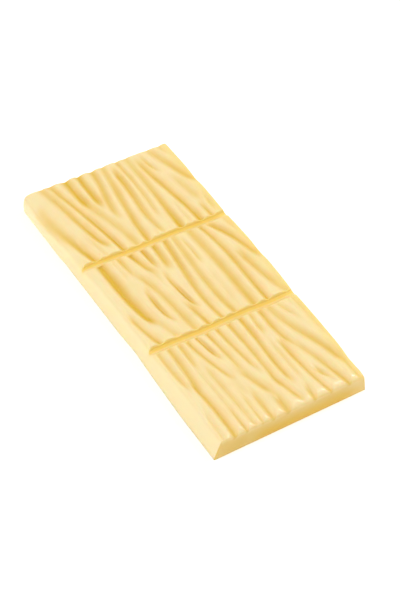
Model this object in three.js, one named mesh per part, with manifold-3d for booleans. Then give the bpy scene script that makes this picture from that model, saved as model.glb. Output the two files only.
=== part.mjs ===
// A thin moulded bar of pale chocolate, made as one solid. Two score grooves part it into three
// panels, and each panel is combed with wood-grain furrows that flow along the bar. Its walls lean
// in from a flat underside, as a shape that has to leave a mould does.
//
// Millimetres. +Z is up and +Y runs along the bar. The origin is the middle of the underside.

import { BoxGeometry, BufferAttribute, BufferGeometry, Group, Mesh, MeshStandardMaterial } from 'three';
import { mergeVertices } from 'three/addons/utils/BufferGeometryUtils.js';
import Module from 'manifold-3d';

// Driving dimensions. Length and width are those of the foot.
const LENGTH = 100;
const WIDTH = 49;
const THICKNESS = 6.6;

// Each wall leans in by its draft before it reaches the top, and rolls over into it with its round.
const DRAFT = { left: 1.35, right: 1.35, near: 0.6, far: 0.15 };
const ROUND = { right: 0.6, near: 0.4, far: 0.4 };
const LEFT_ROUND = { near: 0.6, far: 1.9 }; // the left round grows from the near end to the far end
const CORNER_ROUND = { nearLeft: 0.3, nearRight: 0.15, farLeft: 0.7, farRight: 0.8 };
const SIDE_FADE = 3; // how quickly the lean of a long wall dies away inwards
const END_FADE = 9; // the same for the two end walls

// The long walls aren't straight. The left one stands out at the top of its far end. Its foot is
// drawn in, most of all beside the near groove, and flares out towards the near end. The right one
// bows out as a whole, swells a little in each panel, and its rim is tucked in beside the near corner.
const FAR_BULGE = { depth: 1.58, fade: 10 };
const FOOT_INSET = { depth: 0.2, end: 31, length: 5 };
const WAIST = { depth: 0.28, y: -9.5, spread: 5 };
const FLARE = { depth: 0.7, start: -11, length: 27 };
const RIGHT_BOW = { depth: 0.6, y: -3, spread: 30 };
const TUCK = { depth: 0.37, y: -43, spread: 4 };
const BELLY = 0.25;

// A groove has a flat floor, a steep far wall, and a near wall made by the rounded ends of ridges.
// Its floor narrows to nothing at the left wall.
const FAR_GROOVE = { y: 18.45, floor: 0.9 };
const NEAR_GROOVE = { y: -15.35, floor: 1.2 };
const GROOVE_DEPTH = 1.3;
const FAR_WALL = { slope: 2.2, lip: 0.4 };
const NEAR_WALL = { slope: 1.5, lip: 0.9 };
const GROOVE_FILLET = 0.25;
const GROOVE_WANDER = { width: 0.15, length: 23 };
const GROOVE_TIP = 3;

// The ridges sink a little beside a groove, and their tips droop on the way to the near wall.
const CROWN = { depth: 0.25, length: 17 };
const NOSE = { drop: 0.8, length: 3.2, blend: 0.3, start: -23, end: -19 };

// How a furrow is shaped. Its left flank takes up a share of its width, its bottom is rounded, and
// it fades over the last stretch. It loses part of its depth in a groove and at the far wall.
const LEFT_SHARE = 0.52;
const CREASE = 0.22;
const FLANK_CURVE = 1.65;
const TAPER = 6;
const GROOVE_LOSS = 0.8;
const FAR_LOSS = 0.4;

// The grid that carries the relief, with its rows crowded at the ends of each panel.
const COLUMNS = 62;
const PANEL_ROWS = 19;
const SIDE_CROWDING = 0.3;
const END_CROWDING = 0.75;
const WALL_ROWS = 3;
const BELOW = 1; // how far the raw block reaches below the underside before it is cut flat

// A furrow runs from its far end to its near end, bows to the right by `bow` at the middle of its
// length and sways by `sway` at its quarters. One that runs off its panel ends beyond it.
// far x, far y, near x, near y, bow, sway, width, far depth, near depth
const FAR_PANEL = [
  [-21.9, 47, -16.5, 14, -2.2, 0.0, 4.9, 0.35, 1.5],
  [-20.5, 55, -12.4, 20, 0.0, 0.3, 4.6, 0.5, 1.35],
  [-17.8, 55, -8.7, 14, 0.7, 0.0, 4.0, 0.75, 1.4],
  [-11.6, 55, -10.0, 35, 0.1, 0.0, 4.4, 1.2, 1.15],
  [-11.7, 55, -4.8, 14, -0.75, -0.9, 5.0, 0.5, 0.75],
  [-7.1, 55, -6.7, 34, 0.1, 0.0, 4.3, 1.25, 1.2],
  [-3.5, 55, -4.6, 28, 0.75, 0.8, 4.2, 1.0, 0.85],
  [1.6, 55, -1.5, 14, -0.7, 0.4, 4.0, 0.65, 1.2],
  [3.5, 50, 4.5, 17, -0.8, 0.65, 4.0, 1.3, 0.65],
  [5.3, 54, 5.5, 23, 1.05, 0.1, 3.0, 0.85, 0.5],
  [8.5, 55, 9.6, 14, 0.5, 0.2, 4.3, 0.3, 1.5],
  [11.4, 50, 16.1, 14, 0.5, -0.3, 4.3, 0.85, 1.25],
  [12.8, 51, 15.3, 39, 0.1, 0.0, 3.0, 0.6, 1.1],
  [14.6, 54, 23.8, 30, 0.4, 0.1, 5.5, 0.45, 1.3],
  [19.8, 54, 21.7, 43, 0.0, 0.0, 2.8, 0.7, 0.3],
  [17.0, 40, 20.3, 23, 0.1, 0.0, 5.0, 0.5, 0.65],
  [18.8, 28, 20.2, 14, -0.1, 0.0, 3.4, 0.75, 1.0],
  [21.8, 30, 21.3, 18, 0.0, 0.0, 2.8, 0.65, 0.7],
  [12.4, 31, 12.8, 14, 0.0, 0.0, 2.4, 0.3, 0.35],
  [-16.8, 30, -14.6, 14, 0.0, 0.0, 3.4, 0.4, 0.4],
  [1.7, 25, 1.8, 14, 0.0, 0.0, 2.4, 0.3, 0.3],
  [6.2, 24, 6.1, 14, 0.0, 0.0, 3.0, 0.25, 0.25],
];
const MIDDLE_PANEL = [
  [-19.1, 24, -15.9, -10, -1.1, 0.4, 5.4, 1.35, 1.6],
  [-17.2, -4, -11.8, -20, 0.2, 0.0, 4.6, 0.55, 0.55],
  [-13.7, 24, -12.6, 7, 0.0, 0.0, 3.3, 0.9, 0.7],
  [-13.2, 13, -7.0, -21, 1.15, 0.4, 4.4, 0.75, 0.75],
  [-10.9, 24, -6.4, 5, -0.1, 0.0, 4.3, 1.6, 0.75],
  [-12.3, 6, -11.0, -11, -1.1, 0.0, 3.0, 0.95, 1.25],
  [-5.8, 24, -5.2, 7, 0.0, 0.0, 3.0, 1.4, 1.0],
  [-4.9, 9, -2.5, -9.5, -0.6, 0.0, 3.0, 0.8, 1.6],
  [-1.5, 24, -2.5, 5, 0.2, 0.0, 3.9, 1.45, 0.8],
  [3.0, 24, 2.8, -21, -2.5, 0.55, 3.8, 1.15, 0.85],
  [5.2, 24, 7.2, -21, -2.1, 0.55, 4.2, 0.6, 0.95],
  [6.1, 19, 6.7, 3, 0.6, 0.0, 2.6, 0.45, 0.75],
  [9.9, 24, 11.7, -21, 0.25, 0.0, 5.2, 0.75, 1.05],
  [12.0, 24, 16.4, -21, 1.3, 0.7, 3.8, 0.9, 1.1],
  [14.0, 21, 22.5, -3, 2.1, 0.1, 4.6, 1.1, 1.1],
  [17.8, 7, 23.6, -19, -1.1, 0.1, 4.6, 0.9, 0.75],
  [-21.9, 1, -15.9, -21, -1.35, 0.0, 4.2, 0.75, 1.1],
  [-6.2, -2, -2.6, -21, 0.5, 0.0, 4.0, 0.6, 1.45],
  [20.5, 24, 22.6, 8, 0.0, 0.0, 2.8, 0.45, 0.4],
  [7.2, 5, 7.1, -20, 0.0, 0.0, 3.6, 0.25, 0.25],
  [-15.7, 23, -15.0, 6, 0.0, 0.0, 2.6, 0.25, 0.25],
  [-7.6, 12, -6.8, 0, 0.0, 0.0, 2.6, 0.3, 0.3],
];
const NEAR_PANEL = [
  [-21.0, -10, -20.8, -34, -0.8, 0.0, 3.4, 0.7, 0.7],
  [-21.6, -36, -22.4, -54, 0.0, 0.0, 3.0, 0.4, 0.4],
  [-18.4, -10, -19.3, -36, 0.6, 0.0, 3.8, 0.8, 0.9],
  [-19.7, -27, -19.3, -55, 1.1, 0.0, 3.8, 0.9, 1.05],
  [-15.1, -10, -15.6, -29, 0.3, 0.0, 3.0, 0.95, 0.6],
  [-15.9, -24, -15.0, -46, 0.0, 0.0, 2.6, 0.3, 0.3],
  [-15.2, -38, -14.7, -55, 0.0, 0.0, 3.0, 0.5, 1.05],
  [-12.3, -10, -7.9, -36, -1.3, -0.2, 3.4, 0.9, 0.85],
  [-13.3, -24, -12.0, -54, 0.1, 0.0, 3.2, 0.55, 0.5],
  [-10.3, -11, -7.4, -28, -0.2, 0.0, 2.9, 0.85, 1.4],
  [-7.0, -10, -4.9, -35, 0.3, 0.0, 3.2, 1.1, 0.6],
  [-6.3, -29, -1.2, -45, -0.2, 0.0, 4.4, 0.65, 1.0],
  [-2.0, -40, -1.6, -55, 0.0, 0.0, 5.0, 0.85, 0.95],
  [-2.9, -10, -0.5, -37, -0.7, 0.0, 3.4, 1.05, 0.7],
  [0.7, -10, 1.2, -44, 0.4, 0.0, 3.5, 0.95, 0.75],
  [0.6, -35, 4.5, -51, 0.0, 0.0, 3.6, 0.95, 0.85],
  [4.6, -10, 5.2, -44, -0.1, 0.3, 3.4, 1.1, 0.9],
  [8.8, -10, 7.4, -27, 0.0, 0.0, 2.9, 0.6, 0.85],
  [7.1, -24, 7.8, -45, 0.1, 0.0, 2.6, 0.4, 0.4],
  [7.4, -41, 6.8, -55, 0.0, 0.0, 3.4, 0.55, 1.1],
  [11.5, -10, 13.5, -34, -1.2, 0.2, 3.9, 1.05, 0.85],
  [11.9, -28, 19.2, -55, 0.9, 0.0, 3.8, 0.5, 1.1],
  [10.1, -25, 13.9, -55, -1.3, 0.0, 3.4, 0.95, 0.8],
  [14.6, -10, 22.3, -45, -1.9, -0.9, 4.8, 0.5, 1.1],
  [21.6, -37, 22.2, -55, 0.0, 0.0, 3.0, 0.7, 0.7],
  [15.4, -12, 19.6, -26, 0.0, 0.0, 3.2, 0.5, 0.5],
  [21.5, -12, 22.4, -36, 0.0, 0.0, 2.6, 0.4, 0.4],
  [20.0, -10, 20.5, -22, 0.0, 0.0, 2.4, 0.3, 0.3],
  [11.5, -38, 15.9, -48, 0.0, 0.0, 2.9, 0.9, 0.85],
  [-9.9, -36, -9.9, -55, 0.0, 0.0, 2.4, 0.35, 0.7],
  [-7.0, -36, -6.3, -55, 0.0, 0.0, 3.6, 0.5, 1.1],
  [-9.2, -30, -8.6, -43, 0.0, 0.0, 4.4, 0.25, 0.25],
];

const clamp = (value, low = 0, high = 1) => Math.min(high, Math.max(low, value));
const smooth = (value) => value * value * (3 - 2 * value);

// A bell that is 1 at 0 and has nearly died away at 2.
const bell = (value) => Math.exp(-(value ** 2));

// Moves even steps from 0 to 1 closer together towards both ends.
const crowd = (step, crowding) => step - crowding * Math.sin(2 * Math.PI * step) / (2 * Math.PI);

// How far from the middle the top reaches on one side.
const reach = (side) => (side === 'left' || side === 'right' ? WIDTH : LENGTH) / 2 - DRAFT[side];

// The line that a score groove wanders along.
const grooveLine = ({ y }, x) => y + GROOVE_WANDER.width * Math.sin(2 * Math.PI * x / GROOVE_WANDER.length);

// The three panels at a place across the bar, from the near end to the far one.
function panels(x) {
  const nearLine = grooveLine(NEAR_GROOVE, x);
  const farLine = grooveLine(FAR_GROOVE, x);
  return [
    { near: -reach('near'), far: nearLine, furrows: NEAR_PANEL },
    { near: nearLine, far: farLine, furrows: MIDDLE_PANEL },
    { near: farLine, far: reach('far'), furrows: FAR_PANEL },
  ];
}

// How deep one furrow is at a point of the top.
function furrowDepth([farX, farY, nearX, nearY, bow, sway, width, farDepth, nearDepth], x, y) {
  const along = clamp((farY - y) / (farY - nearY));
  const crease = farX + (nearX - farX) * along
    + bow * 4 * along * (1 - along)
    + sway * Math.sin(2 * Math.PI * along);
  const share = x < crease ? LEFT_SHARE : 1 - LEFT_SHARE;
  const flank = Math.max(0, 1 - Math.hypot((x - crease) / (share * width), CREASE)) / (1 - CREASE);
  const fromEnd = Math.min(farY - y, y - nearY);
  const depth = farDepth + (nearDepth - farDepth) * along;
  return depth * flank ** FLANK_CURVE * smooth(clamp(fromEnd / TAPER));
}

// A softened minimum: the lower of two heights, rounded where they meet.
function softMin(a, b, blend) {
  const overlap = Math.max(0, blend - Math.abs(a - b)) / blend;
  return Math.min(a, b) - overlap * overlap * blend / 4;
}

// The height of a groove's floor or wall, and how broadly it rolls over into the top.
function scored(groove, x, y) {
  const across = y - grooveLine(groove, x);
  const { slope, lip } = across > 0 ? FAR_WALL : NEAR_WALL;
  const floor = groove.floor * smooth(clamp((x + WIDTH / 2) / GROOVE_TIP));
  const pastFloor = Math.max(0, Math.abs(across) - floor / 2);
  const climb = slope * (Math.hypot(pastFloor, GROOVE_FILLET) - GROOVE_FILLET);
  return { height: THICKNESS - GROOVE_DEPTH + climb, lip };
}

// How far the top has rolled down at a distance from the edge of the bar.
function roll(fromEdge, radius) {
  const inRound = clamp(radius - fromEdge, 0, radius);
  return radius - Math.sqrt(radius ** 2 - inRound ** 2);
}

// How far a ridge has drooped on its way to the near wall, from 0 to 1.
function droop(x, y) {
  const across = smooth(clamp((x - NOSE.start) / (NOSE.end - NOSE.start)));
  return across * clamp(1 - (y + reach('near')) / NOSE.length) ** 1.5;
}

// The height of the top.
function topHeight(x, y, furrows) {
  const [side, end] = [x > 0 ? 'right' : 'left', y > 0 ? 'far' : 'near'];
  const fromSide = reach(side) - Math.abs(x);
  const fromEnd = reach(end) - Math.abs(y);
  const fromGroove = Math.min(
    Math.abs(y - grooveLine(FAR_GROOVE, x)),
    Math.abs(y - grooveLine(NEAR_GROOVE, x)),
  );
  const [farGroove, nearGroove] = [scored(FAR_GROOVE, x, y), scored(NEAR_GROOVE, x, y)];
  const groove = farGroove.height < nearGroove.height ? farGroove : nearGroove;
  const inGroove = smooth(clamp((THICKNESS - groove.height) / GROOVE_DEPTH));
  const atFarWall = y > 0 ? smooth(clamp(1 - fromEnd / TAPER)) : 0;
  const carved = Math.hypot(...furrows.map((furrow) => furrowDepth(furrow, x, y)))
    * (1 - GROOVE_LOSS * inGroove) * (1 - FAR_LOSS * atFarWall);
  const crest = THICKNESS - CROWN.depth * clamp(1 - fromGroove / CROWN.length) ** 2;
  const leftRound = LEFT_ROUND.near + (LEFT_ROUND.far - LEFT_ROUND.near) * (y / LENGTH + 0.5);
  const rolled = Math.hypot(
    roll(fromSide, side === 'left' ? leftRound : ROUND.right),
    roll(fromEnd, ROUND[end]),
  );
  const ceiling = THICKNESS + NOSE.blend - (NOSE.blend + NOSE.drop) * droop(x, y);
  const ridges = softMin(crest - carved, ceiling, NOSE.blend) - rolled;
  return softMin(ridges, groove.height, groove.lip);
}

// Rounds a corner of the plan: the square of side `radius` in the corner becomes a quarter disc.
function roundCorner(x, y) {
  const [side, end] = [x > 0 ? 'right' : 'left', y > 0 ? 'far' : 'near'];
  const radius = CORNER_ROUND[end + (x > 0 ? 'Right' : 'Left')];
  const inX = Math.max(0, Math.abs(x) - reach(side) + radius) / radius;
  const inY = Math.max(0, Math.abs(y) - reach(end) + radius) / radius;
  const pullX = radius * inX * (1 - Math.sqrt(1 - inY ** 2 / 2));
  const pullY = radius * inY * (1 - Math.sqrt(1 - inX ** 2 / 2));
  return [x - Math.sign(x) * pullX, y - Math.sign(y) * pullY];
}

// How far a long wall stands out from the edge of the top. Lean is 1 at the foot and 0 at the top.
function outward(side, y, lean, { near, far }, share) {
  if (side === 'left') {
    const bulge = FAR_BULGE.depth * (1 - lean ** 2) * smooth(clamp(2 * y / LENGTH));
    const inset = FOOT_INSET.depth * smooth(clamp((FOOT_INSET.end - y) / FOOT_INSET.length));
    const waist = WAIST.depth * bell((y - WAIST.y) / WAIST.spread);
    const flare = FLARE.depth * smooth(clamp((FLARE.start - y) / FLARE.length));
    const foot = DRAFT.left - inset - waist + flare;
    return foot * lean * share ** SIDE_FADE + bulge * share ** FAR_BULGE.fade;
  }
  const fromMiddle = (2 * y - far - near) / (far - near);
  const bow = RIGHT_BOW.depth * bell((y - RIGHT_BOW.y) / RIGHT_BOW.spread);
  const tuck = TUCK.depth * bell((y - TUCK.y) / TUCK.spread);
  const swell = bow - tuck + BELLY * (1 - fromMiddle ** 2);
  return (DRAFT.right * lean + swell * (1 - lean)) * share ** SIDE_FADE;
}

// A point of the raw block: column and row go from -1 to 1 across and along the top, and rise goes
// from 0 below the underside to 1 on top.
function onBlock(column, row, rise) {
  const [side, end] = [column > 0 ? 'right' : 'left', row > 0 ? 'far' : 'near'];
  const topX = reach(side) * (2 * crowd((column + 1) / 2, SIDE_CROWDING) - 1);
  const panelRow = 1.5 * (row + 1);
  const index = Math.min(2, Math.floor(panelRow));
  const panel = panels(topX)[index];
  const topY = panel.near + (panel.far - panel.near) * crowd(panelRow - index, END_CROWDING);
  const z = -BELOW + rise * (topHeight(topX, topY, panel.furrows) + BELOW);
  const lean = 1 - z / THICKNESS;
  const [x, y] = roundCorner(topX, topY);
  return [
    x + Math.sign(column) * outward(side, topY, lean, panel, Math.abs(topX) / reach(side)),
    y + Math.sign(row) * DRAFT[end] * lean * Math.abs(row) ** END_FADE,
    z,
  ];
}

// The raw block is a box whose points are moved onto the bar's surface.
function rawBlock() {
  const block = new BoxGeometry(2, 2, 1, COLUMNS, 3 * PANEL_ROWS, WALL_ROWS);
  const points = block.attributes.position;
  for (let index = 0; index < points.count; index += 1) {
    const rise = points.getZ(index) + 0.5;
    points.setXYZ(index, ...onBlock(points.getX(index), points.getY(index), rise));
  }
  return block;
}

// A closed three.js geometry as a manifold-3d solid, and the way back.
function toSolid(wasm, geometry) {
  const bare = geometry.clone();
  bare.deleteAttribute('normal');
  bare.deleteAttribute('uv');
  const merged = mergeVertices(bare, 1e-4);
  const vertProperties = new Float32Array(merged.attributes.position.array);
  const triVerts = new Uint32Array(merged.index.array);
  return new wasm.Manifold(new wasm.Mesh({ numProp: 3, vertProperties, triVerts }));
}

function toGeometry(solid) {
  const { vertProperties, triVerts } = solid.getMesh();
  const geometry = new BufferGeometry();
  geometry.setAttribute('position', new BufferAttribute(new Float32Array(vertProperties), 3));
  geometry.setIndex(new BufferAttribute(new Uint32Array(triVerts), 1));
  geometry.computeVertexNormals();
  return geometry;
}

const wasm = await Module();
wasm.setup();

// The underside is cut flat by taking away everything below it.
const table = new BoxGeometry(2 * WIDTH, 2 * LENGTH, 2 * BELOW);
table.translate(0, 0, -BELOW);
const barSolid = toSolid(wasm, rawBlock()).subtract(toSolid(wasm, table));

const chocolate = new MeshStandardMaterial({ color: 0xf6dc98, roughness: 0.45, metalness: 0 });
const bar = new Mesh(toGeometry(barSolid), chocolate);
bar.name = 'chocolate_bar';

const part = new Group();
part.add(bar);

export default part;
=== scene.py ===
"""A thin moulded bar of white chocolate: three panels of wood-grain relief, parted by two grooves."""

import math

import bmesh
import bpy
from mathutils import Matrix, Vector, noise


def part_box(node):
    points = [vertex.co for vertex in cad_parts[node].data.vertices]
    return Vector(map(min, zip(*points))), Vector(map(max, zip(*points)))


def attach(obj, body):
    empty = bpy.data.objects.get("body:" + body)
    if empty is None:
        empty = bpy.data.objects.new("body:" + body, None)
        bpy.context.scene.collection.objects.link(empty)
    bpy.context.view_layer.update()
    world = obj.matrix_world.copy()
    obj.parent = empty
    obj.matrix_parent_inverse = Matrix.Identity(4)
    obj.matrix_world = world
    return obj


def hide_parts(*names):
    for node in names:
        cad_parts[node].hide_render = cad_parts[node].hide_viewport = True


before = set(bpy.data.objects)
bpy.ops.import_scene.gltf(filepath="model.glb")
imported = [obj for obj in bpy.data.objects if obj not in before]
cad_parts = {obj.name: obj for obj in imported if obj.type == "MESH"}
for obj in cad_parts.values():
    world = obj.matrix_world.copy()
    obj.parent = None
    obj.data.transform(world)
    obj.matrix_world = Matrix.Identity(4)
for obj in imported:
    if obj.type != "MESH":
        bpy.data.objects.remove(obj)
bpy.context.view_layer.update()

# ---------------------------------------------------------------- sizes, in millimetres

MM = 0.001
NODE = "chocolate_bar"
low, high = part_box(NODE)
# Length and width are those of the foot. The left wall stands out beyond it, so the width is taken
# on the right.
WIDTH, LENGTH, THICKNESS = 2 * high.x / MM, (high.y - low.y) / MM, high.z / MM

# Each wall leans in by its draft before it reaches the top, and rolls over into it with its round.
DRAFT = {"left": 1.35, "right": 1.35, "near": 0.6, "far": 0.15}
ROUND = {"right": 0.6, "near": 0.4, "far": 0.4}
LEFT_ROUND_NEAR, LEFT_ROUND_FAR = 0.6, 1.9  # the left round grows from the near end to the far end
CORNER_ROUND = {"near left": 0.3, "near right": 0.15, "far left": 0.7, "far right": 0.8}
NOSE_LENGTH, NOSE_DROP = 3.2, 0.8  # how the tips of the ridges droop to the near wall
NOSE_BLEND = 0.3
NOSE_START, NOSE_END = -23.0, -19.0  # where the droop fades in across the bar
CROWN, CROWN_LENGTH = 0.25, 17.0  # how much lower the top is beside a groove, and how far that reaches
BELLY = 0.25  # how far the right wall of a panel swells between its ends
RIGHT_BOW, BOW_Y, BOW_SPREAD = 0.6, -3.0, 30.0  # how far the whole right wall bows out at its middle
CORNER_TUCK, TUCK_Y, TUCK_SPREAD = 0.37, -43.0, 4.0  # how far its rim is drawn in beside the near corner
FAR_BULGE = 1.58  # how far the left wall stands out at the top of its far end

# A score groove has a flat floor, a steep far wall and a near wall made by the rounded ends of ridges.
FAR_GROOVE, FAR_FLOOR = 18.45, 0.9
NEAR_GROOVE, NEAR_FLOOR = -15.35, 1.2
GROOVE_DEPTH = 1.3
GROOVE_FAR_SLOPE, GROOVE_NEAR_SLOPE = 2.2, 1.5
FAR_LIP, NEAR_LIP = 0.4, 0.9  # how broadly each wall rolls over into the top
GROOVE_FILLET = 0.25
GROOVE_WANDER, GROOVE_WANDER_LENGTH = 0.15, 23.0
FURROW_END = 0.8  # how much of its depth a furrow loses in a groove
FAR_SHALLOW = 0.4  # and how much where it runs out over the far wall
GROOVE_TIP = 3.0  # over this length the floor narrows to nothing at the left wall

# The foot of the left wall is drawn in, most of all beside the near groove, and flares out to the
# near end.
FOOT_INSET, INSET_END, INSET_FADE = 0.2, 31.0, 5.0
WAIST_DEPTH, WAIST_Y, WAIST_SPREAD = 0.28, -9.5, 5.0
FLARE, FLARE_START, FLARE_LENGTH = 0.7, -11.0, 27.0

# A furrow's left flank takes up this share of its width. Its bottom and its crests are rounded.
LEFT_SHARE = 0.52
CREASE = 0.22
FLANK_CURVE = 1.65
TAPER = 6.0  # over this length a furrow fades at each end

# Where the top swells and sinks, and the fine grain that runs along it: height, width and length.
SWELL = (0.16, 5.0, 17.0)
GRAIN = (0.08, 0.85, 9.0)

# Tone 0 is the pale left rim and tone 1 the bottom of a deep furrow. Past the crests' own tone it is
# painted shade, deepening down into a furrow, most on the flank turned away from the key light.
CREST_TONE = 0.135
FULL_SHADE_DEPTH = 1.25  # the furrow depth at tone 1, full painted shade
SHADE_CURVE = 1.15  # how much faster than the depth the painted shade falls off beside a furrow's bottom
SHADE_LEAN = 0.1  # how far the painted shade of a furrow lies to the left of its bottom, on the flank turned away from the key light
RIM_FADE = 4.0  # over this width the top turns pale towards the left and the right wall; at the left this is painted light from the key light
RIM_LIGHT = {"left": 0.0, "right": 0.4}  # how much of its tone the top loses at a rim
# Painted shade deepens the tone in the floor of a groove.
GROOVE_SHADE = 0.29
FAR_WALL_LIGHT = 0.8  # how much of its tone the far wall of a groove loses: painted light, which offsets the shade the wall lies in
LIP_LIGHT = 0.7  # how much of its tone a crest loses beside a groove: painted light on the lips of the grooves
# Painted shade on the drooping tips of the ridges.
NOSE_SHADE = 0.4
# Painted shade on the walls: the near wall, turned away from the lights, is darkened most, the far wall a
# little.
WALL_SHADE = {"left": 0.0, "right": 0.0, "near": 0.8, "far": 0.3}
# The painted shade of an end wall grows this much paler towards each of its corners, over this length.
WALL_END_LIGHT, WALL_END_FADE = {"left": 0.1, "right": 0.45}, 8.0
TOP_TONE_FADE = 6  # how quickly the tone and yellowing of the top die away down a wall
UNDERSIDE_TONE, UNDERSIDE_EDGE = 0.2, 0.3  # the even tone of the underside, and how far in it starts

# A strong yellow is laid on as painted shade in the grooves, in the furrows beside them and along the foot
# of the near wall, and as plain yellowing on the right and far walls and on crests beside a groove.
GROOVE_SHADE_YELLOW, SHELF_SHADE_YELLOW = 0.85, 0.09  # painted yellow shade on the far and the near part of a groove's floor
FURROW_SHADE_YELLOW, CREST_YELLOW = 0.4, 0.14  # painted yellow shade of furrows beside a groove, which grows with their painted shade, and the least yellowing of crests there
BESIDE_GROOVE = 6.0  # how far from a groove its effects on tone and yellowing reach
FLOOR_SHADE = 0.25  # over this width the painted yellow shade of a groove's floor fades
# How yellow each wall is made, the right wall most.
WALL_YELLOW = {"left": 0.0, "right": 0.55, "near": 0.0, "far": 0.2}
FOOT_LIGHT = 0.1  # how much of its tone the near wall loses at its foot: painted light bounced up from the floor
FOOT_SHADE_YELLOW = 1.0  # the painted yellow shade along that foot
FOOT_TOP, FOOT_SHADE = 4.2, 2.2  # how high it reaches, and how softly it ends there
FOOT_LEFT, FOOT_LEFT_FADE = -14.5, 5.5  # where it fades in across the bar
FOOT_RIGHT, FOOT_RIGHT_FADE = 29.0, 16.0  # and where it fades out

# The grid that carries the relief is closest at its rim and at the grooves.
COLUMNS, SIDE_CROWDING = 240, 0.5
PANEL_ROWS, END_CROWDING = 104, 0.8
WALL_RINGS = 9
SIDE_FADE, END_FADE, BULGE_FADE = 3, 9, 10  # how quickly the lean of a wall dies away inwards

# The colour at each tone; the tones deeper than that of the crests are painted shade, darker and yellower.
TONE_AND_SHADE_COLOURS = {
    0.0: (1.0, 0.79, 0.44),
    0.12: (1.0, 0.768, 0.415),
    0.4: (0.91, 0.675, 0.27),
    0.64: (0.853, 0.60, 0.17),
    1.0: (0.785, 0.51, 0.055),
}
YELLOW_FILTER = (1.0, 0.91, 0.33)  # what full yellowing lets through of the colour
# Soft noise of a size and a detail, and the stretch of its values that is used.
CLOUDS, CLOUD_SPAN = (6.0, 3), (0.35, 0.65)
MOTTLE = 0.05  # how far the tone strays in those clouds
GLOSS, GLOSS_SPAN = (2.0, 4), (0.3, 0.7)
ROUGHNESS = (0.29, 0.34)  # from the glossiest spots to the dullest
SKIN, SKIN_STRENGTH, SKIN_HEIGHT = (0.35, 3), 0.35, 0.03
SPECULAR = 0.42
SOFTNESS, SOFT_REACH, SOFT_SCALE = 0.6, (1.0, 0.6, 0.3), 0.7  # how light sinks in, by colour

# ---------------------------------------------------------------- the furrows
# A furrow runs from its far end to its near end, bows to the right by `bow` at the middle of its
# length and sways by `sway` at its quarters. One that runs off its panel ends beyond it.
# far x, far y, near x, near y, bow, sway, width, far depth, near depth

FAR_PANEL = (
    (-21.9, 47, -16.5, 14, -2.2, 0.0, 4.9, 0.35, 1.5),
    (-20.5, 55, -12.4, 20, 0.0, 0.3, 4.6, 0.5, 1.35),
    (-17.8, 55, -8.7, 14, 0.7, 0.0, 4.0, 0.75, 1.4),
    (-11.6, 55, -10.0, 35, 0.1, 0.0, 4.4, 1.2, 1.15),
    (-11.7, 55, -4.8, 14, -0.75, -0.9, 5.0, 0.5, 0.75),
    (-7.1, 55, -6.7, 34, 0.1, 0.0, 4.3, 1.25, 1.2),
    (-3.5, 55, -4.6, 28, 0.75, 0.8, 4.2, 1.0, 0.85),
    (1.6, 55, -1.5, 14, -0.7, 0.4, 4.0, 0.65, 1.2),
    (3.5, 50, 4.5, 17, -0.8, 0.65, 4.0, 1.3, 0.65),
    (5.3, 54, 5.5, 23, 1.05, 0.1, 3.0, 0.85, 0.5),
    (8.5, 55, 9.6, 14, 0.5, 0.2, 4.3, 0.3, 1.5),
    (11.4, 50, 16.1, 14, 0.5, -0.3, 4.3, 0.85, 1.25),
    (12.8, 51, 15.3, 39, 0.1, 0.0, 3.0, 0.6, 1.1),
    (14.6, 54, 23.8, 30, 0.4, 0.1, 5.5, 0.45, 1.3),
    (19.8, 54, 21.7, 43, 0.0, 0.0, 2.8, 0.7, 0.3),
    (17.0, 40, 20.3, 23, 0.1, 0.0, 5.0, 0.5, 0.65),
    (18.8, 28, 20.2, 14, -0.1, 0.0, 3.4, 0.75, 1.0),
    (21.8, 30, 21.3, 18, 0.0, 0.0, 2.8, 0.65, 0.7),
    (12.4, 31, 12.8, 14, 0.0, 0.0, 2.4, 0.3, 0.35),
    (-16.8, 30, -14.6, 14, 0.0, 0.0, 3.4, 0.4, 0.4),
    (1.7, 25, 1.8, 14, 0.0, 0.0, 2.4, 0.3, 0.3),
    (6.2, 24, 6.1, 14, 0.0, 0.0, 3.0, 0.25, 0.25),
)
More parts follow.
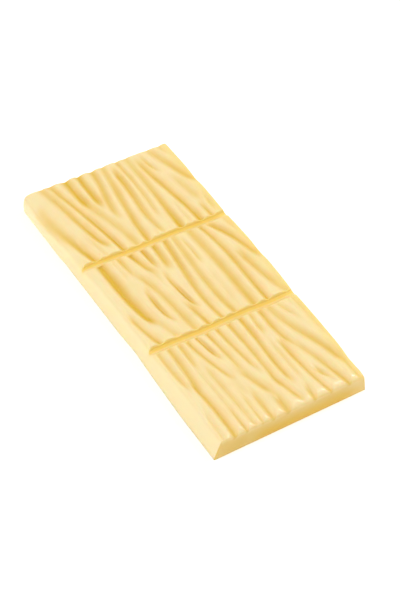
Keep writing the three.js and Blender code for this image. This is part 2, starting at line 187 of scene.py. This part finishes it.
MIDDLE_PANEL = (
    (-19.1, 24, -15.9, -10, -1.1, 0.4, 5.4, 1.35, 1.6),
    (-17.2, -4, -11.8, -20, 0.2, 0.0, 4.6, 0.55, 0.55),
    (-13.7, 24, -12.6, 7, 0.0, 0.0, 3.3, 0.9, 0.7),
    (-13.2, 13, -7.0, -21, 1.15, 0.4, 4.4, 0.75, 0.75),
    (-10.9, 24, -6.4, 5, -0.1, 0.0, 4.3, 1.6, 0.75),
    (-12.3, 6, -11.0, -11, -1.1, 0.0, 3.0, 0.95, 1.25),
    (-5.8, 24, -5.2, 7, 0.0, 0.0, 3.0, 1.4, 1.0),
    (-4.9, 9, -2.5, -9.5, -0.6, 0.0, 3.0, 0.8, 1.6),
    (-1.5, 24, -2.5, 5, 0.2, 0.0, 3.9, 1.45, 0.8),
    (3.0, 24, 2.8, -21, -2.5, 0.55, 3.8, 1.15, 0.85),
    (5.2, 24, 7.2, -21, -2.1, 0.55, 4.2, 0.6, 0.95),
    (6.1, 19, 6.7, 3, 0.6, 0.0, 2.6, 0.45, 0.75),
    (9.9, 24, 11.7, -21, 0.25, 0.0, 5.2, 0.75, 1.05),
    (12.0, 24, 16.4, -21, 1.3, 0.7, 3.8, 0.9, 1.1),
    (14.0, 21, 22.5, -3, 2.1, 0.1, 4.6, 1.1, 1.1),
    (17.8, 7, 23.6, -19, -1.1, 0.1, 4.6, 0.9, 0.75),
    (-21.9, 1, -15.9, -21, -1.35, 0.0, 4.2, 0.75, 1.1),
    (-6.2, -2, -2.6, -21, 0.5, 0.0, 4.0, 0.6, 1.45),
    (20.5, 24, 22.6, 8, 0.0, 0.0, 2.8, 0.45, 0.4),
    (7.2, 5, 7.1, -20, 0.0, 0.0, 3.6, 0.25, 0.25),
    (-15.7, 23, -15.0, 6, 0.0, 0.0, 2.6, 0.25, 0.25),
    (-7.6, 12, -6.8, 0, 0.0, 0.0, 2.6, 0.3, 0.3),
)
NEAR_PANEL = (
    (-21.0, -10, -20.8, -34, -0.8, 0.0, 3.4, 0.7, 0.7),
    (-21.6, -36, -22.4, -54, 0.0, 0.0, 3.0, 0.4, 0.4),
    (-18.4, -10, -19.3, -36, 0.6, 0.0, 3.8, 0.8, 0.9),
    (-19.7, -27, -19.3, -55, 1.1, 0.0, 3.8, 0.9, 1.05),
    (-15.1, -10, -15.6, -29, 0.3, 0.0, 3.0, 0.95, 0.6),
    (-15.9, -24, -15.0, -46, 0.0, 0.0, 2.6, 0.3, 0.3),
    (-15.2, -38, -14.7, -55, 0.0, 0.0, 3.0, 0.5, 1.05),
    (-12.3, -10, -7.9, -36, -1.3, -0.2, 3.4, 0.9, 0.85),
    (-13.3, -24, -12.0, -54, 0.1, 0.0, 3.2, 0.55, 0.5),
    (-10.3, -11, -7.4, -28, -0.2, 0.0, 2.9, 0.85, 1.4),
    (-7.0, -10, -4.9, -35, 0.3, 0.0, 3.2, 1.1, 0.6),
    (-6.3, -29, -1.2, -45, -0.2, 0.0, 4.4, 0.65, 1.0),
    (-2.0, -40, -1.6, -55, 0.0, 0.0, 5.0, 0.85, 0.95),
    (-2.9, -10, -0.5, -37, -0.7, 0.0, 3.4, 1.05, 0.7),
    (0.7, -10, 1.2, -44, 0.4, 0.0, 3.5, 0.95, 0.75),
    (0.6, -35, 4.5, -51, 0.0, 0.0, 3.6, 0.95, 0.85),
    (4.6, -10, 5.2, -44, -0.1, 0.3, 3.4, 1.1, 0.9),
    (8.8, -10, 7.4, -27, 0.0, 0.0, 2.9, 0.6, 0.85),
    (7.1, -24, 7.8, -45, 0.1, 0.0, 2.6, 0.4, 0.4),
    (7.4, -41, 6.8, -55, 0.0, 0.0, 3.4, 0.55, 1.1),
    (11.5, -10, 13.5, -34, -1.2, 0.2, 3.9, 1.05, 0.85),
    (11.9, -28, 19.2, -55, 0.9, 0.0, 3.8, 0.5, 1.1),
    (10.1, -25, 13.9, -55, -1.3, 0.0, 3.4, 0.95, 0.8),
    (14.6, -10, 22.3, -45, -1.9, -0.9, 4.8, 0.5, 1.1),
    (21.6, -37, 22.2, -55, 0.0, 0.0, 3.0, 0.7, 0.7),
    (15.4, -12, 19.6, -26, 0.0, 0.0, 3.2, 0.5, 0.5),
    (21.5, -12, 22.4, -36, 0.0, 0.0, 2.6, 0.4, 0.4),
    (20.0, -10, 20.5, -22, 0.0, 0.0, 2.4, 0.3, 0.3),
    (11.5, -38, 15.9, -48, 0.0, 0.0, 2.9, 0.9, 0.85),
    (-9.9, -36, -9.9, -55, 0.0, 0.0, 2.4, 0.35, 0.7),
    (-7.0, -36, -6.3, -55, 0.0, 0.0, 3.6, 0.5, 1.1),
    (-9.2, -30, -8.6, -43, 0.0, 0.0, 4.4, 0.25, 0.25),
)

# ---------------------------------------------------------------- the relief


def clamp(value, lowest=0.0, highest=1.0):
    return min(highest, max(lowest, value))


def smooth(value):
    return value * value * (3 - 2 * value)


def groove_line(groove_y, x):
    return groove_y + GROOVE_WANDER * math.sin(2 * math.pi * x / GROOVE_WANDER_LENGTH)


def reach(side):
    """How far from the middle the top reaches on one side."""
    return (WIDTH if side in ("left", "right") else LENGTH) / 2 - DRAFT[side]


def panels(x):
    """The three panels at a place across the bar: near line, far line and furrows."""
    far_line = groove_line(FAR_GROOVE, x)
    near_line = groove_line(NEAR_GROOVE, x)
    return (
        (-reach("near"), near_line, NEAR_PANEL),
        (near_line, far_line, MIDDLE_PANEL),
        (far_line, reach("far"), FAR_PANEL),
    )


def furrow_depth(furrow, x, y):
    """How deep one furrow is at a point of the top."""
    far_x, far_y, near_x, near_y, bow, sway, width, far_depth, near_depth = furrow
    from_end = min(far_y - y, y - near_y)
    if from_end <= 0:
        return 0.0
    along = (far_y - y) / (far_y - near_y)
    crease = far_x + (near_x - far_x) * along + bow * 4 * along * (1 - along)
    crease += sway * math.sin(2 * math.pi * along)
    share = LEFT_SHARE if x < crease else 1 - LEFT_SHARE
    flank = max(0.0, 1 - math.hypot((x - crease) / (share * width), CREASE)) / (1 - CREASE)
    depth = far_depth + (near_depth - far_depth) * along
    return depth * flank**FLANK_CURVE * smooth(clamp(from_end / TAPER))


def unevenness(size, x, y):
    height, across, along = size
    return height * noise.noise(Vector((x / across, y / along, height)))


def soft_min(a, b, blend):
    """The lower of two heights, rounded where they meet."""
    overlap = max(0.0, blend - abs(a - b)) / blend
    return min(a, b) - overlap * overlap * blend / 4


def groove(groove_y, floor, x, y):
    """The height of a groove's floor or wall, how broadly it rolls over into the top, and
    how close it is to the foot of the far wall."""
    across = y - groove_line(groove_y, x)
    floor *= smooth(clamp((x + WIDTH / 2) / GROOVE_TIP))
    past_floor = max(0.0, abs(across) - floor / 2)
    slope, lip = (GROOVE_FAR_SLOPE, FAR_LIP) if across > 0 else (GROOVE_NEAR_SLOPE, NEAR_LIP)
    climb = slope * (math.hypot(past_floor, GROOVE_FILLET) - GROOVE_FILLET)
    return THICKNESS - GROOVE_DEPTH + climb, lip, smooth(clamp((across + FLOOR_SHADE) / FLOOR_SHADE))


def round_radius(side, y):
    """The radius with which the top rolls over into a wall."""
    if side == "left":
        return LEFT_ROUND_NEAR + (LEFT_ROUND_FAR - LEFT_ROUND_NEAR) * (y / LENGTH + 0.5)
    return ROUND[side]


def rolled(place, side, radius):
    """How far through its roll the top is on the way to a wall, from 0 to 1."""
    return clamp(1 - (reach(side) - abs(place)) / radius)


def quarter(part):
    """How far a quarter circle of radius 1 has dropped at a part of its width."""
    return 1 - math.sqrt(1 - part**2)


def droop(x, y):
    """How far a ridge has drooped on its way to the near wall, from 0 to 1."""
    across = smooth(clamp((x - NOSE_START) / (NOSE_END - NOSE_START)))
    return across * clamp(1 - (y + reach("near")) / NOSE_LENGTH) ** 1.5


def top_height(x, y, furrows):
    """The height of the top, its tone with painted shade and light, and its yellowing."""
    side, end = "right" if x > 0 else "left", "far" if y > 0 else "near"
    furrowed = math.hypot(*(furrow_depth(furrow, x, y) for furrow in furrows))
    # Painted shade: the furrows' depth, taken a little to the right, so that it falls on their left
    # flanks, turned away from the key light.
    furrow_shade = math.hypot(*(furrow_depth(furrow, x + SHADE_LEAN, y) for furrow in furrows))
    from_groove = min(abs(y - groove_line(line, x)) for line in (FAR_GROOVE, NEAR_GROOVE))
    crest = THICKNESS - CROWN * clamp(1 - from_groove / CROWN_LENGTH) ** 2 - SWELL[0] / 2
    uneven = unevenness(SWELL, x, y) + unevenness(GRAIN, x, y)
    radius = round_radius(side, y)
    roll_x = radius * quarter(rolled(x, side, radius))
    roll_y = ROUND[end] * quarter(rolled(y, end, ROUND[end]))
    # Furrows die out in the grooves, whose floors run on unbroken, and grow shallower at the far wall.
    # Of the two grooves, the one that is lower here counts.
    bottom, lip, far_foot = min(groove(FAR_GROOVE, FAR_FLOOR, x, y), groove(NEAR_GROOVE, NEAR_FLOOR, x, y))
    scored = smooth(clamp((THICKNESS - bottom) / GROOVE_DEPTH))
    furrowed *= 1 - FURROW_END * scored
    if end == "far":
        furrowed *= 1 - FAR_SHALLOW * smooth(rolled(y, end, TAPER))
    furrow_shade *= 1 - scored
    drooped = droop(x, y)
    ceiling = THICKNESS + NOSE_BLEND - (NOSE_BLEND + NOSE_DROP) * drooped
    carved = soft_min(crest + uneven - furrowed, ceiling, NOSE_BLEND) - math.hypot(roll_x, roll_y)
    height = soft_min(carved, bottom, lip)
    beside = smooth(clamp(1 - from_groove / BESIDE_GROOVE))
    # The crest tone fades out towards the rims, as painted light at the left rim, and beside a groove, as
    # painted light on its lips.
    crest_tone = CREST_TONE * smooth(clamp((reach(side) - abs(x)) / RIM_FADE))
    crest_tone *= 1 - LIP_LIGHT * beside * (1 - scored)
    # The tone deepens with that depth, as painted shade in the furrows.
    tone_and_shade = crest_tone + (1 - crest_tone) * (furrow_shade / FULL_SHADE_DEPTH) ** SHADE_CURVE
    # Painted shade where the ridges droop to the near wall, deepest at the wall.
    tone_and_shade = max(tone_and_shade, NOSE_SHADE * drooped**3)
    # Painted shade: a strong yellow in the floor of a groove, most on its far part.
    yellowing = math.sqrt(scored) * (SHELF_SHADE_YELLOW + (GROOVE_SHADE_YELLOW - SHELF_SHADE_YELLOW) * far_foot)
    # Beside a groove, furrows get painted yellow shade as deep as their painted shade, and crests a little
    # yellowing.
    yellowing = max(yellowing, beside * max(CREST_YELLOW, FURROW_SHADE_YELLOW * clamp(furrow_shade)))
    # Painted shade deepens the groove's floor; painted light pales its far wall, which lies in shade.
    tone_and_shade = (tone_and_shade + GROOVE_SHADE * scored) * (1 - FAR_WALL_LIGHT * far_foot * 4 * scored * (1 - scored))
    return height, tone_and_shade, yellowing


def round_corner(x, y):
    """Rounds a corner of the plan: the square in the corner becomes a quarter disc."""
    end, side = "far" if y > 0 else "near", "right" if x > 0 else "left"
    radius = CORNER_ROUND[end + " " + side]
    in_x = max(0.0, abs(x) - reach(side) + radius) / radius
    in_y = max(0.0, abs(y) - reach(end) + radius) / radius
    pull_x = radius * in_x * (1 - math.sqrt(1 - in_y**2 / 2))
    pull_y = radius * in_y * (1 - math.sqrt(1 - in_x**2 / 2))
    return x - math.copysign(pull_x, x), y - math.copysign(pull_y, y)


def crowd(step, crowding):
    """Moves even steps from 0 to 1 closer together towards both ends."""
    return step - crowding * math.sin(2 * math.pi * step) / (2 * math.pi)


def on_bar(column, row, rise):
    """A point of the surface, its tone with painted shade and light, and its yellowing.

    Column and row go from -1 to 1 across and along the top, and rise from 0 at the foot to 1 on top.
    """
    side, end = "right" if column > 0 else "left", "far" if row > 0 else "near"
    top_x = reach(side) * (2 * crowd((column + 1) / 2, SIDE_CROWDING) - 1)
    panel_row = (row + 1) * 1.5
    index = min(2, int(panel_row))
    near, far, furrows = panels(top_x)[index]
    top_y = near + (far - near) * crowd(panel_row - index, END_CROWDING)
    top, tone_and_shade, yellowing = top_height(top_x, top_y, furrows)
    x, y = round_corner(top_x, top_y)
    z = rise * top
    lean = 1 - z / THICKNESS
    from_middle = (2 * top_y - far - near) / (far - near)
    outward = DRAFT[side] * lean
    if side == "left":
        inset = FOOT_INSET * smooth(clamp((INSET_END - top_y) / INSET_FADE))
        inset += WAIST_DEPTH * math.exp(-(((top_y - WAIST_Y) / WAIST_SPREAD) ** 2))
        outward += (FLARE * smooth(clamp((FLARE_START - top_y) / FLARE_LENGTH)) - inset) * lean
        bulge = FAR_BULGE * (1 - lean**2) * smooth(clamp(top_y * 2 / LENGTH))
        x -= bulge * abs(top_x / reach(side)) ** BULGE_FADE
    else:
        bow = RIGHT_BOW * math.exp(-(((top_y - BOW_Y) / BOW_SPREAD) ** 2))
        bow -= CORNER_TUCK * math.exp(-(((top_y - TUCK_Y) / TUCK_SPREAD) ** 2))
        outward += (1 - lean) * (bow + BELLY * (1 - from_middle**2))
    x += math.copysign(outward, top_x) * abs(top_x / reach(side)) ** SIDE_FADE
    y += math.copysign(DRAFT[end] * lean, row) * abs(row) ** END_FADE
    # The walls get a tone and yellowing, which fade in where the top rolls over; on the end walls the tone
    # is painted shade.
    on_side = smooth(rolled(top_x, side, RIM_FADE))
    on_end = smooth(rolled(top_y, end, ROUND[end])) * (1 - 0.5 * rise**8)
    from_top = rise**TOP_TONE_FADE
    tone_and_shade *= (1 - RIM_LIGHT[side] * on_side) * from_top
    # Painted shade on the end walls, paler towards their corners.
    at_corner = 1 - WALL_END_LIGHT[side] * smooth(rolled(top_x, side, WALL_END_FADE))
    tone_and_shade = max(tone_and_shade, WALL_SHADE[side] * on_side, WALL_SHADE[end] * on_end * at_corner)
    yellowing = max(yellowing * from_top, WALL_YELLOW[side] * on_side * rise**2, WALL_YELLOW[end] * on_end)
    # Painted light and shade along the foot of the near wall: paler from the floor's bounce, and a strong
    # yellow.
    if row == -1:
        at_foot = smooth(clamp((FOOT_TOP - z) / FOOT_SHADE))
        at_foot *= smooth(clamp((x - FOOT_LEFT) / FOOT_LEFT_FADE))
        at_foot *= smooth(clamp((FOOT_RIGHT - x) / FOOT_RIGHT_FADE))
        tone_and_shade *= 1 - FOOT_LIGHT * at_foot
        yellowing = max(yellowing, FOOT_SHADE_YELLOW * at_foot)
    return Vector((x, y, z)) * MM, clamp(tone_and_shade), yellowing


# ---------------------------------------------------------------- the bar


def chocolate_bar():
    bm = bmesh.new()
    tone_and_shade = bm.verts.layers.float.new("tone_and_shade")
    yellowing = bm.verts.layers.float.new("yellowing")
    bmesh.ops.create_grid(bm, x_segments=COLUMNS, y_segments=3 * PANEL_ROWS, size=1)
    place = {vert: (vert.co.x, vert.co.y) for vert in bm.verts}
    ring = [edge for edge in bm.edges if edge.is_boundary]
    for vert, (column, row) in place.items():
        vert.co, vert[tone_and_shade], vert[yellowing] = on_bar(column, row, 1)
    # The walls are drawn down from the rim, ring by ring. The last ring lies on the underside.
    for step in range(1, WALL_RINGS + 2):
        above = {vert for edge in ring for vert in edge.verts}
        made = bmesh.ops.extrude_edge_only(bm, edges=ring)["geom"]
        ring = [item for item in made if isinstance(item, bmesh.types.BMEdge) and item.is_boundary]
        for vert in {vert for edge in ring for vert in edge.verts}:
            linked = (edge.other_vert(vert) for edge in vert.link_edges)
            column, row = place[vert] = place[next(other for other in linked if other in above)]
            vert.co, vert[tone_and_shade], vert[yellowing] = on_bar(column, row, max(0, 1 - step / WALL_RINGS))
    for vert in {vert for edge in ring for vert in edge.verts}:
        vert.co *= 1 - 2 * UNDERSIDE_EDGE / WIDTH
        vert[tone_and_shade], vert[yellowing] = UNDERSIDE_TONE, 0
    bmesh.ops.contextual_create(bm, geom=ring)
    bmesh.ops.recalc_face_normals(bm, faces=bm.faces)
    for face in bm.faces:
        face.smooth = any(vert.co.z > 0 for vert in face.verts)
    mesh = bpy.data.meshes.new("white_chocolate_bar")
    bm.to_mesh(mesh)
    bm.free()
    bar = bpy.data.objects.new("white_chocolate_bar", mesh)
    bpy.context.collection.objects.link(bar)
    bar.data.materials.append(white_chocolate())
    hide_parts(NODE)
    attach(bar, "root")


def pattern(nodes, links, size, detail):
    """Soft noise of a size in millimetres, fixed to the bar."""
    place = nodes.new("ShaderNodeTexCoord")
    mottle = nodes.new("ShaderNodeTexNoise")
    mottle.inputs["Scale"].default_value = 1 / (size * MM)
    mottle.inputs["Detail"].default_value = detail
    links.new(place.outputs["Object"], mottle.inputs["Vector"])
    return mottle.outputs["Fac"]


def spread(nodes, links, value, span, new_span):
    """Carries a value from one span to another."""
    ranged = nodes.new("ShaderNodeMapRange")
    for name, number in zip(("From Min", "From Max", "To Min", "To Max"), span + new_span):
        ranged.inputs[name].default_value = number
    links.new(value, ranged.inputs["Value"])
    return ranged.outputs["Result"]


def filtered(nodes, links, colour, amount, yellow_multiplier):
    """Multiplies a colour, by an amount, with a yellow."""
    mix = nodes.new("ShaderNodeMix")
    mix.data_type = "RGBA"
    mix.blend_type = "MULTIPLY"
    links.new(amount, mix.inputs["Factor"])
    links.new(colour, mix.inputs["A"])
    mix.inputs["B"].default_value = (*yellow_multiplier, 1)
    return mix.outputs["Result"]


def white_chocolate():
    material = bpy.data.materials.new("white_chocolate")
    material.use_nodes = True
    nodes, links = material.node_tree.nodes, material.node_tree.links
    shader = nodes["Principled BSDF"]
    tone_and_shade, yellowing = nodes.new("ShaderNodeAttribute"), nodes.new("ShaderNodeAttribute")
    tone_and_shade.attribute_name, yellowing.attribute_name = "tone_and_shade", "yellowing"
    # Milk solids and cocoa butter are never quite evenly mixed.
    mottled = nodes.new("ShaderNodeMath")
    links.new(tone_and_shade.outputs["Fac"], mottled.inputs[0])
    clouds = pattern(nodes, links, *CLOUDS)
    links.new(spread(nodes, links, clouds, CLOUD_SPAN, (-MOTTLE, MOTTLE)), mottled.inputs[1])
    tint = nodes.new("ShaderNodeValToRGB")
    stops = tint.color_ramp.elements
    for at, colour in TONE_AND_SHADE_COLOURS.items():
        stop = stops.new(at) if 0 < at < 1 else stops[-int(at)]
        stop.color = (*colour, 1)
    links.new(mottled.outputs["Value"], tint.inputs["Fac"])
    yellowed_colour = filtered(nodes, links, tint.outputs["Color"], yellowing.outputs["Fac"], YELLOW_FILTER)
    links.new(yellowed_colour, shader.inputs["Base Color"])
    gloss = pattern(nodes, links, *GLOSS)
    links.new(spread(nodes, links, gloss, GLOSS_SPAN, ROUGHNESS), shader.inputs["Roughness"])
    skin = nodes.new("ShaderNodeBump")
    skin.inputs["Strength"].default_value = SKIN_STRENGTH
    skin.inputs["Distance"].default_value = SKIN_HEIGHT * MM
    links.new(pattern(nodes, links, *SKIN), skin.inputs["Height"])
    links.new(skin.outputs["Normal"], shader.inputs["Normal"])
    shader.inputs["Specular IOR Level"].default_value = SPECULAR
    shader.inputs["Subsurface Weight"].default_value = SOFTNESS
    shader.inputs["Subsurface Radius"].default_value = SOFT_REACH
    shader.inputs["Subsurface Scale"].default_value = SOFT_SCALE * MM
    return material


# ---------------------------------------------------------------- the studio

AZIMUTH, ELEVATION, ROLL = math.radians(-41.0), math.radians(48.3), math.radians(10.1)
STAND_OFF = 512.8 * MM
AIM_RIGHT, AIM_UP = 3.0 * MM, -0.15 * MM
LENS = 110.5
TABLE_REACH, TABLE_GLOW = 3.0, 0.24  # in metres, and how much light the table gives off itself
SURROUND_LIGHT = 0.57


def studio_floor():
    bm = bmesh.new()
    bmesh.ops.create_grid(bm, x_segments=1, y_segments=1, size=TABLE_REACH)
    mesh = bpy.data.meshes.new("studio_floor")
    bm.to_mesh(mesh)
    bm.free()
    floor = bpy.data.objects.new("studio_floor", mesh)
    bpy.context.collection.objects.link(floor)
    material = bpy.data.materials.new("studio_white")
    material.use_nodes = True
    shader = material.node_tree.nodes["Principled BSDF"]
    shader.inputs["Base Color"].default_value = (1, 1, 1, 1)
    shader.inputs["Roughness"].default_value = 0.9
    shader.inputs["Emission Color"].default_value = (1, 1, 1, 1)
    shader.inputs["Emission Strength"].default_value = TABLE_GLOW
    floor.data.materials.append(material)


def softbox(name, direction, distance, size, power):
    """A square area light at a distance from the bar, in metres, facing it."""
    light = bpy.data.lights.new(name, "AREA")
    light.size = size
    light.energy = power
    lamp = bpy.data.objects.new(name, light)
    bpy.context.collection.objects.link(lamp)
    toward = Vector(direction).normalized()
    lamp.location = toward * distance
    lamp.rotation_euler = toward.to_track_quat("Z", "Y").to_euler()


def studio_camera():
    back = Vector((
        math.sin(AZIMUTH) * math.cos(ELEVATION),
        -math.cos(AZIMUTH) * math.cos(ELEVATION),
        math.sin(ELEVATION),
    ))
    right = Vector((math.cos(AZIMUTH), math.sin(AZIMUTH), 0))
    up = back.cross(right)
    data = bpy.data.cameras.new("studio_camera")
    data.lens = LENS
    camera = bpy.data.objects.new("studio_camera", data)
    bpy.context.collection.objects.link(camera)
    camera.location = back * STAND_OFF + right * AIM_RIGHT + up * AIM_UP
    level = Matrix((right, up, back)).transposed()
    camera.rotation_euler = (level @ Matrix.Rotation(ROLL, 3, "Z")).to_euler()
    bpy.context.scene.camera = camera


chocolate_bar()
studio_floor()
softbox("key", direction=(-0.75, 0.25, 0.8), distance=0.9, size=0.45, power=2.4)
softbox("sheen", direction=(0.6, 0.0, 0.8), distance=0.9, size=0.12, power=2.8)
studio_camera()

world = bpy.data.worlds.new("studio_air")
world.use_nodes = True
surround = world.node_tree.nodes["Background"]
surround.inputs["Color"].default_value = (1, 1, 1, 1)
surround.inputs["Strength"].default_value = SURROUND_LIGHT
bpy.context.scene.world = world
bpy.context.scene.view_settings.view_transform = "Standard"
